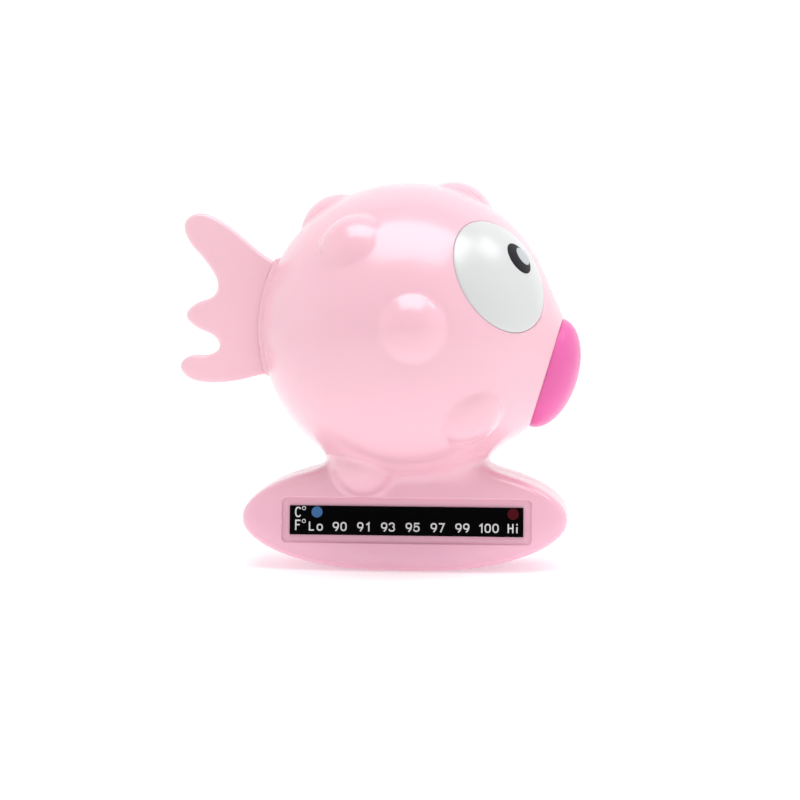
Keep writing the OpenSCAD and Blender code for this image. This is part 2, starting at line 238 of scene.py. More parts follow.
def outer_skin(p):
    """Outside of body, bumps, snout, tail collar and base, blended into one moulding."""
    d, t = head(p)
    for azimuth, elevation in BUMPS:
        d = smooth_union(d, ball(p, CENTRE + BUMP_C * aim(azimuth, elevation), BUMP_R), BUMP_BLEND)
    d = smooth_meet(d, t - MOUTH_SEAT, SNOUT_EDGE)
    collar = smooth_meet(ball(p, CENTRE, BODY_R + COLLAR_H), np.abs(p[..., 1]) - COLLAR_Y, COLLAR_EDGE)
    middle = (COLLAR_Z[0] + COLLAR_Z[1]) / 2
    collar = smooth_meet(collar, np.abs(p[..., 2] - middle) - (COLLAR_Z[1] - COLLAR_Z[0]) / 2, COLLAR_EDGE)
    collar = np.maximum(collar, p[..., 0] - COLLAR_FRONT_X)
    d = smooth_union(d, collar, COLLAR_BLEND)
    away = np.clip((np.abs(p[..., 0]) - NECK_BLEND_START) / NECK_BLEND_SPAN, 0, 1)
    blend = NECK_BLEND_FRONT + (NECK_BLEND_SIDE - NECK_BLEND_FRONT) * away * away * (3 - 2 * away)
    d = smooth_union(d, pod(p, 0, 0), blend)
    for foot in FEET:
        d = smooth_union(d, ball(p, foot, FOOT_R), FOOT_BLEND)
    return smooth_meet(d, -p[..., 2], FOOT_EDGE)


def air_space(p):
    """Hollow inside of both halves."""
    base = np.maximum(pod(p, WALL, FACE_SKIN), WALL - p[..., 2])
    neck = rod(p, (0, 0, 0), Z_AXIS, NECK_R, BASE_Z, CENTRE[2])
    return np.minimum(np.minimum(ball(p, CENTRE, VOID_R), base), neck)


def peg_places():
    """Centres of the alignment pegs on the parting plane."""
    for angle in BODY_PEGS:
        a = math.radians(angle)
        yield CENTRE + PEG_RING_R * np.array([math.cos(a), 0, math.sin(a)])
    for x in BASE_PEGS:
        yield np.array([x, 0.0, BASE_Z])


def inner_bosses(p, side):
    """Seats, tail clamp and peg bosses inside one half. The eye's seat stays high for its socket to trim."""
    d = rod(p, CENTRE, eye_axis(side), EYE_BOSS_R, EYE_BOSS_LOW, EYE_SEAT + 1)
    d = np.minimum(d, rod(p, CENTRE, MOUTH_AXIS, MOUTH_BOSS_R, MOUTH_SEAT - MOUTH_BOSS_T, MOUTH_SEAT - 0.5))
    clamp = slab_box(p, (-60, -TAIL_BOSS_Y, TAB_Z[0]), (TAB_X, TAIL_BOSS_Y, TAB_Z[1]))
    d = np.minimum(d, np.maximum(clamp, ball(p, CENTRE, BODY_R - 0.5)))
    for place in peg_places():
        d = np.minimum(d, rod(p, place, Y_AXIS * side, PEG_BOSS_R, 0, PEG_BOSS_L))
    return d


def tail_tab(p, gap=0.0):
    """Tab and T-head of the tail's root, with a gap on each face of the tab."""
    half_t = TAIL_T / 2 - gap
    tab = slab_box(p, (TAB_X - TAB_L, -half_t, TAB_Z[0]), (TAB_X + 0.1, half_t, TAB_Z[1]))
    tee = slab_box(p, (TAB_X, -TEE_Y, TAB_Z[0]), (TAB_X + TEE_T, TEE_Y, TAB_Z[1]))
    return np.minimum(tab, tee)


def eye_cuts(p, side):
    """Seat of the eye with its chamfered rim, groove of the seal and hole for the stem."""
    axis = eye_axis(side)
    d = rod(p, CENTRE, axis, SOCKET_R, EYE_SEAT, EYE_SEAT + 20)
    t, radial = along_axis(p, CENTRE, axis)
    slope = (radial - SOCKET_R - t + SOCKET_CHAMFER_Z) * math.sqrt(0.5)
    d = np.minimum(d, np.maximum(slope, SOCKET_CHAMFER_Z - t))
    d = np.minimum(d, rod(p, CENTRE, axis, STEM_R, 20, EYE_SEAT + 1))
    return np.minimum(d, rod(p, CENTRE, axis, EYE_RING_R + EYE_RING, EYE_SEAT - 2 * EYE_RING, EYE_SEAT + 1))


def fitting_cuts(p):
    """What one half gives way to at the mouth and at the tail's root."""
    d = rod(p, CENTRE, MOUTH_AXIS, MOUTH_STEM_R, 0, MOUTH_SEAT + 5)
    middle = MOUTH_SEAT - MOUTH_BOSS_T / 2
    groove_r = MOUTH_STEM_R + 2 * MOUTH_RING
    d = np.minimum(d, rod(p, CENTRE, MOUTH_AXIS, groove_r, middle - MOUTH_RING, middle + MOUTH_RING))
    return np.minimum(d, tail_tab(p))


def face_frame():
    """Origin on the strip's nominal face, then the directions along it, up it and out of it."""
    origin = np.array([STRIP_X, -half_depth(STRIP_Z), STRIP_Z])
    along = np.array([1.0, 0.0, 0.0])
    up = np.array([0.0, math.sin(LEAN), math.cos(LEAN)])
    out = np.array([0.0, -math.cos(LEAN), math.sin(LEAN)])
    return origin, along, up, out


def recess(p):
    """Shallow pocket with rounded corners for the strip."""
    origin, along, up, out = face_frame()
    q = p - origin
    u = np.abs(q @ along) - (STRIP_L + RECESS_MARGIN) / 2 + RECESS_R
    v = np.abs(q @ up) - (STRIP_H + RECESS_MARGIN) / 2 + RECESS_R
    flat = np.sqrt(np.maximum(u, 0) ** 2 + np.maximum(v, 0) ** 2) + np.minimum(np.maximum(u, v), 0) - RECESS_R
    return np.maximum(flat, -RECESS_D - q @ out)


def half_shell(p, side):
    """One half of body and base: side is -1 for the right (-Y) half and 1 for the left."""
    skin = outer_skin(p)
    if side < 0:
        skin = smooth_meet(skin, -recess(p), RECESS_EDGE)
    d = np.maximum(skin, smooth_union(-air_space(p), inner_bosses(p, side), BOSS_BLEND))
    if side < 0:
        boss_end = half_depth(SCREW_Z) - RECESS_D - BALLAST_BOSS_GAP
        for x in (-SCREW_X, SCREW_X):
            d = np.minimum(d, rod(p, (x, 0, SCREW_Z), -Y_AXIS, BALLAST_BOSS_R, BAR_HALF_T, boss_end))
            d = np.maximum(d, -rod(p, (x, 0, SCREW_Z), -Y_AXIS, SCREW_R, 0, SCREW_DEEP))
    d = np.maximum(d, -fitting_cuts(p))
    cut = SEAM_GAP - side * p[..., 1]
    d = np.where(skin > -SEAM_EDGE_DEPTH, smooth_meet(d, cut, SEAM_EDGE), np.maximum(d, cut))
    for place in peg_places():
        if side < 0:
            d = np.minimum(d, rod(p, place, Y_AXIS, PEG_R, -1, PEG_H))
        else:
            d = np.maximum(d, -rod(p, place, Y_AXIS, PEG_R + PEG_GAP, -1, PEG_H + PEG_GAP))
    return d


# ---- tail fin ----


def smooth_outline(points, steps):
    """Points on the quadratic curve that an open control polygon describes, with its ends kept."""
    p = np.array(points, float)
    u = (np.arange(steps) / steps)[:, None]
    out = [p[:1]]
    for a, b, c in zip(p, p[1:], p[2:]):
        out.append((1 - u) ** 2 * (a + b) / 2 + 2 * u * (1 - u) * b + u * u * (b + c) / 2)
    out.append((p[-2] + p[-1])[None] / 2)
    out.append(p[-1:])
    return np.concatenate(out)


TAIL_EDGES = smooth_outline(TAIL_OUTLINE, TAIL_STEPS)


def outline_distance(x, z):
    """Signed distance in the plane from the closed tail outline, negative inside."""
    shape = x.shape
    q = np.stack([x.ravel(), z.ravel()], -1)
    best = np.full(len(q), 1e9)
    inside = np.zeros(len(q), bool)
    for a, b in zip(TAIL_EDGES, np.roll(TAIL_EDGES, -1, 0)):
        e, w = b - a, q - a
        t = np.clip(w @ e / (e @ e), 0, 1)
        best = np.minimum(best, ((w - t[:, None] * e) ** 2).sum(-1))
        crosses = (a[1] > q[:, 1]) != (b[1] > q[:, 1])
        if a[1] != b[1]:
            at = a[0] + (q[:, 1] - a[1]) * (b[0] - a[0]) / (b[1] - a[1])
            inside ^= crosses & (q[:, 0] < at)
    return (np.sqrt(best) * np.where(inside, -1, 1)).reshape(shape)


def tail_fin(p):
    """Flat three-lobed fin with rounded rims, and its tab and T-head."""
    rim = TAIL_T / 2 - TAIL_RIM_FLAT
    flat = outline_distance(p[..., 0], p[..., 2]) + rim
    thick = np.abs(p[..., 1]) - TAIL_T / 2 + rim
    corner = np.sqrt(np.maximum(flat, 0) ** 2 + np.maximum(thick, 0) ** 2)
    plate = corner + np.minimum(np.maximum(flat, thick), 0) - rim
    plate = smooth_meet(plate, -ball(p, CENTRE, BODY_R + COLLAR_H + TAIL_ROOT_GAP), TAIL_ROOT_EDGE)
    return np.minimum(plate, tail_tab(p, TAB_GAP))


# ---- dual contouring ----


def spaced(low, high, step, fine_bands=(), fine=FINE):
    """Grid lines from low to high: step apart, and closer inside each fine band (start, end)."""
    lines = [low]
    while lines[-1] < high:
        here = lines[-1]
        distance = min((max(a - here, here - b, 0) for a, b in fine_bands), default=1e9)
        lines.append(here + min(step, fine + 0.35 * distance))
    return np.array(lines)


def gradient(field, p, h=0.01):
    """Unit normals of a distance field at points."""
    g = np.empty_like(p)
    for i in range(3):
        e = np.zeros(3)
        e[i] = h
        g[:, i] = field(p + e) - field(p - e)
    return g / np.maximum(np.linalg.norm(g, axis=1, keepdims=True), 1e-9)


def sample_grid(field, axes):
    """Field values on a grid, slab by slab."""
    xs, ys, zs = axes
    values = np.empty((len(xs), len(ys), len(zs)), np.float32)
    yz = np.stack(np.meshgrid(ys, zs, indexing="ij"), -1)
    for i, x in enumerate(xs):
        p = np.concatenate([np.full(yz.shape[:2] + (1,), x), yz], -1)
        values[i] = field(p)
    return values


def settle(values):
    """Which samples are inside, with more added wherever a grid square has its inside corners on a diagonal.

    Such a square would give the mesh an edge shared by four faces. Its outside corner nearest the surface is
    the one that is added.
    """
    inside = values < 0
    square = ((0, 0), (1, 0), (1, 1), (0, 1))
    changed = True
    while changed:
        changed = False
        for u, v in ((0, 1), (1, 2), (0, 2)):
            flags = []
            for du, dv in square:
                part = [slice(None)] * 3
                part[u] = slice(du, values.shape[u] - 1 + du)
                part[v] = slice(dv, values.shape[v] - 1 + dv)
                flags.append(inside[tuple(part)])
            a, b, c, d = flags
            for place in np.argwhere((a == c) & (b == d) & (a != b)):
                corners = np.repeat(place[None], 4, 0)
                corners[:, u] += [du for du, _ in square]
                corners[:, v] += [dv for _, dv in square]
                outside = [tuple(corner) for corner in corners if not inside[tuple(corner)]]
                if len(outside) == 2:
                    inside[min(outside, key=lambda corner: values[corner])] = True
                    changed = True
    return inside


def edge_crossings(field, axes, inside, axis):
    """Crossings of surface and grid edges along one axis: cells, points, normals and which start inside."""
    lower = [slice(None)] * 3
    upper = [slice(None)] * 3
    lower[axis], upper[axis] = slice(0, -1), slice(1, None)
    change = inside[tuple(lower)] != inside[tuple(upper)]
    cell = np.argwhere(change)
    following = cell.copy()
    following[:, axis] += 1
    a = np.stack([axes[i][cell[:, i]] for i in range(3)], -1)
    b = np.stack([axes[i][following[:, i]] for i in range(3)], -1)
    starts_inside = inside[tuple(cell.T)]
    for _ in range(14):
        middle = (a + b) / 2
        same = (field(middle) < 0) == starts_inside
        a = np.where(same[:, None], middle, a)
        b = np.where(same[:, None], b, middle)
    point = (a + b) / 2
    return cell, point, gradient(field, point), starts_inside


def dual_contour(field, axes):
    """Vertices and quads of the field's zero surface, with corners and edges kept."""
    inside = settle(sample_grid(field, axes))
    shape = np.array([len(a) - 1 for a in axes])
    ids, points, normals, quads = [], [], [], []
    for axis in range(3):
        cell, point, normal, starts_inside = edge_crossings(field, axes, inside, axis)
        u, v = (axis + 1) % 3, (axis + 2) % 3
        keep = (cell[:, u] > 0) & (cell[:, v] > 0) & (cell[:, u] < shape[u]) & (cell[:, v] < shape[v])
        cell, point, normal, starts_inside = cell[keep], point[keep], normal[keep], starts_inside[keep]
        corner_ids = []
        for du, dv in ((-1, -1), (0, -1), (0, 0), (-1, 0)):
            c = cell.copy()
            c[:, u] += du
            c[:, v] += dv
            corner_ids.append((c[:, 0] * shape[1] + c[:, 1]) * shape[2] + c[:, 2])
        quad = np.stack(corner_ids, -1)
        quad[~starts_inside] = quad[~starts_inside][:, ::-1]
        quads.append(quad)
        for c in corner_ids:
            ids.append(c)
            points.append(point)
            normals.append(normal)
    ids, points, normals = np.concatenate(ids), np.concatenate(points), np.concatenate(normals)
    cells, index = np.unique(ids, return_inverse=True)
    count = np.bincount(index)
    middle = np.stack([np.bincount(index, points[:, i]) / count for i in range(3)], -1)
    offset = ((points - middle[index]) * normals).sum(-1)
    products = [[np.bincount(index, normals[:, i] * normals[:, j]) for j in range(3)] for i in range(3)]
    ata = np.moveaxis(np.array(products), -1, 0)
    atb = np.stack([np.bincount(index, normals[:, i] * offset) for i in range(3)], -1)
    size, basis = np.linalg.eigh(ata)
    weight = np.where(size > 0.01 * size[:, -1:], 1 / np.maximum(size, 1e-9), 0)
    move = np.einsum("nij,nj,nkj,nk->ni", basis, weight, basis, atb)
    place = np.stack(np.unravel_index(cells, shape), -1)
    low = np.stack([axes[i][place[:, i]] for i in range(3)], -1)
    high = np.stack([axes[i][place[:, i] + 1] for i in range(3)], -1)
    margin = 0.02 * (high - low)
    vertices = np.clip(middle + move, low + margin, high - margin)
    faces = np.searchsorted(cells, np.concatenate(quads))
    return vertices, faces


# ---- meshes and objects ----


def add_object(name, mesh):
    obj = bpy.data.objects.new(name, mesh)
    bpy.context.scene.collection.objects.link(obj)
    return obj


def mesh_object(name, vertices, faces, sharp_angle=40):
    """Object from vertices in millimetres, shaded smooth except over sharp edges."""
    mesh = bpy.data.meshes.new(name)
    mesh.from_pydata((np.asarray(vertices) * MM).tolist(), [], [list(map(int, f)) for f in faces])
    mesh.validate()
    mesh.shade_smooth()
    mesh.set_sharp_from_angle(angle=math.radians(sharp_angle))
    return add_object(name, mesh)


def shade_with(obj, field):
    """Gives every face corner the distance field's own normal, taken a little inside the face."""
    mesh = obj.data
    count = len(mesh.loops)
    corner = np.empty(count, np.int32)
    mesh.loops.foreach_get("vertex_index", corner)
    total = np.empty(len(mesh.polygons), np.int32)
    mesh.polygons.foreach_get("loop_total", total)
    places = np.empty(len(mesh.vertices) * 3, np.float32)
    mesh.vertices.foreach_get("co", places)
    at = places.reshape(-1, 3)[corner].astype(float) / MM
    starts = np.concatenate([[0], np.cumsum(total)[:-1]])
    middle = np.repeat(np.add.reduceat(at, starts, 0) / total[:, None], total, 0)
    mesh.shade_smooth()
    mesh.normals_split_custom_set(gradient(field, at + 0.2 * (middle - at)).tolist())


def frame_of(axis):
    """Two directions at right angles to an axis, so that the three make a right-handed frame."""
    side = np.cross(Z_AXIS, axis)
    side = side / np.linalg.norm(side)
    return side, np.cross(axis, side), np.asarray(axis)


def lathe(name, profile, origin, axis, segments=144):
    """Closed solid turned about an axis from (radius, height) points that start and end on the axis."""
    u, v, n = frame_of(axis)
    turns = np.arange(segments) * 2 * math.pi / segments
    ring = np.cos(turns)[:, None] * u + np.sin(turns)[:, None] * v
    rows = [np.asarray(origin) + r * ring + h * n for r, h in profile[1:-1]]
    vertices = np.concatenate([[origin + profile[0][1] * n]] + rows + [[origin + profile[-1][1] * n]])
    last = len(vertices) - 1
    faces = []
    for j in range(segments):
        k = (j + 1) % segments
        faces.append((0, 1 + k, 1 + j))
        for i in range(len(rows) - 1):
            a, b = 1 + i * segments, 1 + (i + 1) * segments
            faces.append((a + j, a + k, b + k, b + j))
        top = 1 + (len(rows) - 1) * segments
        faces.append((top + j, top + k, last))
    return mesh_object(name, vertices, faces)


def arc(centre, r, start, end, steps):
    """Points on an arc in the (radius, height) plane, angles in degrees from the radius direction."""
    angles = np.radians(np.linspace(start, end, steps + 1))
    return [(centre[0] + r * math.cos(a), centre[1] + r * math.sin(a)) for a in angles]


def carve(obj, tool):
    """Takes tool's volume out of obj and deletes tool."""
    modifier = obj.modifiers.new("carve", "BOOLEAN")
    modifier.object = tool
    modifier.operation = "DIFFERENCE"
    modifier.solver = "EXACT"
    depsgraph = bpy.context.evaluated_depsgraph_get()
    mesh = bpy.data.meshes.new_from_object(obj.evaluated_get(depsgraph))
    obj.modifiers.clear()
    obj.data = mesh
    mesh.shade_smooth()
    mesh.set_sharp_from_angle(angle=math.radians(35))
    bpy.data.objects.remove(tool)


# ---- materials ----


def new_material(name):
    material = bpy.data.materials.new(name)
    material.use_nodes = True
    tree = material.node_tree
    return material, tree, tree.nodes["Principled BSDF"]


def add_noise(tree, scale, detail=3.0):
    """Noise over the object's own coordinates."""
    place = tree.nodes.new("ShaderNodeTexCoord")
    noise = tree.nodes.new("ShaderNodeTexNoise")
    noise.inputs["Scale"].default_value = scale
    noise.inputs["Detail"].default_value = detail
    tree.links.new(place.outputs["Object"], noise.inputs["Vector"])
    return noise


def vary_colour(tree, shader, noise, colour, amount):
    """Base colour that drifts a little lighter and darker with the noise."""
    ramp = tree.nodes.new("ShaderNodeValToRGB")
    ramp.color_ramp.interpolation = "EASE"
    ramp.color_ramp.elements[0].color = [c * (1 - amount) for c in colour] + [1]
    ramp.color_ramp.elements[1].color = [min(c * (1 + amount), 1) for c in colour] + [1]
    tree.links.new(noise.outputs["Fac"], ramp.inputs["Fac"])
    tree.links.new(ramp.outputs["Color"], shader.inputs["Base Color"])


def vary_roughness(tree, shader, noise, low, high):
    """Roughness that follows the noise between two values."""
    span = tree.nodes.new("ShaderNodeMapRange")
    span.inputs["To Min"].default_value = low
    span.inputs["To Max"].default_value = high
    tree.links.new(noise.outputs["Fac"], span.inputs["Value"])
    tree.links.new(span.outputs["Result"], shader.inputs["Roughness"])


def add_bump(tree, shader, noise, distance):
    """Surface relief from the noise, this many metres high."""
    bump = tree.nodes.new("ShaderNodeBump")
    bump.inputs["Distance"].default_value = distance
    tree.links.new(noise.outputs["Fac"], bump.inputs["Height"])
    tree.links.new(bump.outputs["Normal"], shader.inputs["Normal"])


def moulded_plastic(
        name, colour, glow=(1.0, 0.45, 0.5), soft=0.1, shine=0.5, coat=0.6, coat_rough=0.12, painted_base_shade=None):
    """Glossy moulded plastic: colour drift, faint waviness, a polished skin and a little light inside."""
    material, tree, shader = new_material(name)
    vary_colour(tree, shader, add_noise(tree, 18), colour, 0.02)
    # Painted shade: the base is coloured darker and more purple low down, fading out up the body
    if painted_base_shade:
        paint_base_shade(tree, shader, painted_base_shade)
    add_bump(tree, shader, add_noise(tree, 90, 2.0), 0.00003)
    shader.inputs["Roughness"].default_value = 0.25
    shader.inputs["IOR"].default_value = 1.5
    shader.inputs["Specular IOR Level"].default_value = shine
    shader.inputs["Coat Weight"].default_value = coat
    shader.inputs["Coat Roughness"].default_value = coat_rough
    shader.inputs["Subsurface Weight"].default_value = soft
    shader.inputs["Subsurface Radius"].default_value = glow
    shader.inputs["Subsurface Scale"].default_value = 0.004
    return material


def paint_base_shade(tree, shader, shade_colour):
    """Painted shade: multiplies the base colour by a darker, more purple shade colour over the oval base,
    fading out where the body begins.
    """
    place = tree.nodes.new("ShaderNodeTexCoord")
    parts = tree.nodes.new("ShaderNodeSeparateXYZ")
    height = tree.nodes.new("ShaderNodeMapRange")
    height.inputs["From Min"].default_value = (BASE_Z - 5) * MM
    height.inputs["From Max"].default_value = (BASE_Z + BASE_UP + 4) * MM
    fade = tree.nodes.new("ShaderNodeValToRGB")
    fade.color_ramp.interpolation = "EASE"
    fade.color_ramp.elements[0].color = (*shade_colour, 1)
    fade.color_ramp.elements[1].color = (1, 1, 1, 1)
    both = tree.nodes.new("ShaderNodeMixRGB")
    both.blend_type = "MULTIPLY"
    both.inputs["Fac"].default_value = 1
    plain = shader.inputs["Base Color"].links[0].from_socket
    tree.links.new(place.outputs["Object"], parts.inputs["Vector"])
    tree.links.new(parts.outputs["Z"], height.inputs["Value"])
    tree.links.new(height.outputs["Result"], fade.inputs["Fac"])
    tree.links.new(plain, both.inputs["Color1"])
    tree.links.new(fade.outputs["Color"], both.inputs["Color2"])
    tree.links.new(both.outputs["Color"], shader.inputs["Base Color"])


def plain_film(name, colour, rough, metal=0.0, grain=400, gloss=0.5):
    """Film, ink, rubber or metal: fine grain in its colour, its roughness and its surface."""
    material, tree, shader = new_material(name)
    noise = add_noise(tree, grain)
    vary_colour(tree, shader, noise, colour, 0.06)
    vary_roughness(tree, shader, noise, *rough)
    add_bump(tree, shader, noise, 0.00001)
    shader.inputs["Metallic"].default_value = metal
    shader.inputs["Specular IOR Level"].default_value = gloss
    return material


def build_materials():
    """All materials by slot name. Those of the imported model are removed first, so that the names are free."""
    for imported in list(bpy.data.materials):
        bpy.data.materials.remove(imported)
    return {
        # The shell's pink gets painted shade over the base: darker and more purple towards the bottom
        "shell_pink": moulded_plastic(
            "shell_pink", (0.93, 0.54, 0.635), coat_rough=0.17, painted_base_shade=(0.985, 0.925, 1.0)),
        # The tail is the shell's plastic, but its pink is a little lighter: painted light that brightens the
        # flat fin
        "tail_pink": moulded_plastic("tail_pink", (0.94, 0.585, 0.67)),
        "mouth_pink": moulded_plastic("mouth_pink", (0.82, 0.155, 0.43), coat=0.0, shine=0.2),
        "eye_white": moulded_plastic(
            "eye_white", (0.68, 0.69, 0.69), glow=(0.6, 0.6, 0.6), coat=1.0, coat_rough=0.3),
        "eye_black": plain_film("eye_black", (0.012, 0.011, 0.016), (0.28, 0.36), gloss=0.1),
        "eye_grey": plain_film("eye_grey", (0.54, 0.56, 0.58), (0.3, 0.4), gloss=0.2),
        "seal_rubber": plain_film("seal_rubber", (0.02, 0.02, 0.02), (0.55, 0.7)),
        "clip_steel": plain_film("clip_steel", (0.6, 0.61, 0.63), (0.22, 0.38), metal=1.0, grain=900),
        "adhesive": plain_film("adhesive", (0.6, 0.52, 0.36), (0.45, 0.6)),
        "film_black": plain_film("film_black", (0.004, 0.004, 0.005), (0.35, 0.45), gloss=0.1),
        "crystal_black": plain_film("crystal_black", (0.006, 0.007, 0.006), (0.3, 0.4), gloss=0.1),
        "spot_blue": plain_film("spot_blue", (0.055, 0.16, 0.36), (0.4, 0.5), gloss=0.05),
        "spot_red": plain_film("spot_red", (0.075, 0.005, 0.009), (0.4, 0.5), gloss=0.05),
        "film_print": plain_film("film_print", (0.0012, 0.0012, 0.0015), (0.3, 0.4), gloss=0.02),
        "print_white": plain_film("print_white", (0.68, 0.70, 0.70), (0.4, 0.5), gloss=0.1),
        "ballast_steel": plain_film("ballast_steel", (0.42, 0.43, 0.45), (0.35, 0.5), metal=1.0, grain=700),
        "screw_steel": plain_film("screw_steel", (0.66, 0.67, 0.69), (0.2, 0.32), metal=1.0, grain=900),
        "foam": plain_film("foam", (0.03, 0.03, 0.033), (0.8, 0.95), grain=1500, gloss=0.1),
    }


def dress(obj, materials, slot_name):
    """Gives an object its one material."""
    obj.data.materials.clear()
    obj.data.materials.append(materials[slot_name])


def finish_piece(obj, materials, slot_name, *nodes):
    """A finished piece: material, slot, body, and the CAD nodes that it stands for."""
    dress(obj, materials, slot_name)
    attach(obj, "root")
    if nodes:
        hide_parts(*nodes)


# ---- pieces ----


def shell_axes(side):
    """Grid lines of one half: fine at the parting plane, at the foot and round the recess."""
    origin, _, up, _ = face_frame()
    half_l = (STRIP_L + RECESS_MARGIN) / 2
    half_h = (STRIP_H + RECESS_MARGIN) / 2 * up[2]
    band = 0.5
    x_bands, z_bands = [], [(-0.2, 0.6)]
    y_bands = [(-0.1, 0.5)]
    if side < 0:
        x_bands = [(origin[0] + s * half_l - band, origin[0] + s * half_l + band) for s in (-1, 1)]
        z_bands += [(origin[2] + s * half_h - band, origin[2] + s * half_h + band) for s in (-1, 1)]
    xs = spaced(-BASE_HALF - 1.5, BASE_HALF + 2.0, COARSE, x_bands)
    zs = spaced(-1.0, CENTRE[2] + BODY_R + BUMP_H + 2, COARSE, z_bands)
    ys = spaced(-(PEG_H + 1.0), BODY_R + BUMP_H + 2, COARSE, y_bands)
    if side < 0:
        ys = -ys[::-1]
    return xs, ys, zs


def make_shells(materials):
    """Both half shells: the mesher leaves the eye sockets out, and they are cut exactly."""
    ring_r, ring_z = EYE_RING_R + EYE_RING, EYE_SEAT - 2 * EYE_RING
    low, top = 20, EYE_SEAT + 5
    profile = [(0, low), (STEM_R, low), (STEM_R, ring_z), (ring_r, ring_z), (ring_r, EYE_SEAT)]
    profile += [(SOCKET_R, EYE_SEAT), (SOCKET_R, SOCKET_CHAMFER_Z)]
    profile += [(SOCKET_R + top - SOCKET_CHAMFER_Z, top), (0, top)]
    for side, name in ((-1, "shell_right"), (1, "shell_left")):
        vertices, faces = dual_contour(lambda p, s=side: half_shell(p, s), shell_axes(side))
        obj = mesh_object(name + "_skin", vertices, faces)
        carve(obj, lathe("socket", profile, CENTRE, eye_axis(side), 160))
        shade_with(obj, lambda p, s=side: np.maximum(half_shell(p, s), -eye_cuts(p, s)))
        finish_piece(obj, materials, "shell_pink", name)


def make_tail(materials):
    """Tail fin on an even grid that is finer across its thickness."""
    xs = spaced(-70.0, TAB_X + TEE_T + 1, 0.5)
    ys = spaced(-TEE_Y - 0.5, TEE_Y + 0.5, 0.25)
    zs = spaced(52.5, 107.5, 0.5)
    obj = mesh_object("tail_fin_plate", *dual_contour(tail_fin, (xs, ys, zs)))
    shade_with(obj, tail_fin)
    finish_piece(obj, materials, "tail_pink", "tail_fin")


def make_mouth(materials):
    """Dome of the mouth with a faint rolled lip, its stem and its inner collar."""
    turns = np.linspace(0, math.pi / 2, 48)
    dome = [(MOUTH_R * math.cos(t), MOUTH_SEAT + MOUTH_H * math.sin(t)) for t in turns]
    back = MOUTH_SEAT - MOUTH_BOSS_T
    end = back - MOUTH_COLLAR_T
    chamfer, lip = 0.3, 0.15
    profile = [(0, end), (MOUTH_COLLAR_R - chamfer, end), (MOUTH_COLLAR_R, end + chamfer)]
    profile += [(MOUTH_COLLAR_R, back - FIT), (MOUTH_STEM_R - FIT, back - FIT)]
    profile += [(MOUTH_STEM_R - FIT, MOUTH_SEAT + FIT), (MOUTH_R - lip, MOUTH_SEAT + FIT)]
    obj = lathe("mouth_dome", profile + dome[1:-1] + [(0, MOUTH_SEAT + MOUTH_H)], CENTRE, MOUTH_AXIS)
    finish_piece(obj, materials, "mouth_pink", "mouth")


EYE_DOME_R = (EYE_R**2 + EYE_DOME**2) / (2 * EYE_DOME)
EYE_DOME_C = EYE_RIM + EYE_DOME - EYE_DOME_R


def dome_disc(name, origin, axis, dome_r, r, low, high):
    """Disc of radius r that follows a dome of radius dome_r about origin, with a slightly rounded rim."""
    round_rim = 0.12
    top_r = dome_r + high
    profile = [(0, dome_r + low), (r, dome_r + low)]
    edge = math.sqrt(top_r**2 - r**2)
    profile += [(r, edge - round_rim), (r - 0.3 * round_rim, edge - 0.3 * round_rim)]
    start = math.degrees(math.acos((r - round_rim) / top_r))
    profile += arc((0, 0), top_r, start, 90, 24)
    profile[-1] = (0, top_r)
    return lathe(name, profile, origin, axis, 96)


def make_eye(materials, side, hand):
    """White with its stem, pupil and light spot of one eye."""
    axis = eye_axis(side)
    tip, chamfer, rim = 0.4, 0.3, 0.35
    dome_start = math.degrees(math.acos((EYE_R - rim) / EYE_DOME_R))
    profile = [(0, STEM_END), (STEM_R - tip, STEM_END), (STEM_R - FIT, STEM_END + tip)]
    profile += [(STEM_R - FIT, EYE_SEAT), (EYE_R - chamfer, EYE_SEAT), (EYE_R, EYE_SEAT + chamfer)]
    profile += [(EYE_R, EYE_RIM - rim), (EYE_R - 0.08, EYE_RIM - 0.1)]
    profile += arc((0, EYE_DOME_C), EYE_DOME_R, dome_start, 90, 48)
    profile[-1] = (0, EYE_RIM + EYE_DOME)
    white = lathe(f"eye_{hand}_white", profile, CENTRE, axis, 192)
    centre = CENTRE + EYE_DOME_C * axis
    pupil_axis, glint_axis = aim(side * PUPIL_AZ, PUPIL_EL), aim(side * GLINT_AZ, GLINT_EL)
    carve(white, dome_disc("pocket", centre, pupil_axis, EYE_DOME_R, PUPIL_R + FIT / 2, -PUPIL_DEEP - FIT, 3))
    pupil = dome_disc(f"eye_{hand}_pupil", centre, pupil_axis, EYE_DOME_R, PUPIL_R, -PUPIL_DEEP, PUPIL_PROUD)
    carve(pupil, dome_disc("pocket", centre, glint_axis, EYE_DOME_R, GLINT_R + FIT / 2, -GLINT_DEEP - FIT, 3))
    glint = dome_disc(f"eye_{hand}_glint", centre, glint_axis, EYE_DOME_R, GLINT_R, -GLINT_DEEP, GLINT_PROUD)
    finish_piece(white, materials, "eye_white", f"eye_white_{hand}")
    finish_piece(pupil, materials, "eye_black", f"eye_pupil_{hand}")
    finish_piece(glint, materials, "eye_grey", f"eye_glint_{hand}")


def loop(cx, cy, rx, ry, start=0.0, end=360.0, steps=20, power=0.85):
    """Points on an oval, squared a little towards a rounded rectangle."""
    angles = np.radians(np.linspace(start, end, steps + 1))
    x, y = np.cos(angles), np.sin(angles)
    x, y = np.sign(x) * np.abs(x) ** power, np.sign(y) * np.abs(y) ** power
    return list(zip(cx + rx * x, cy + ry * y))


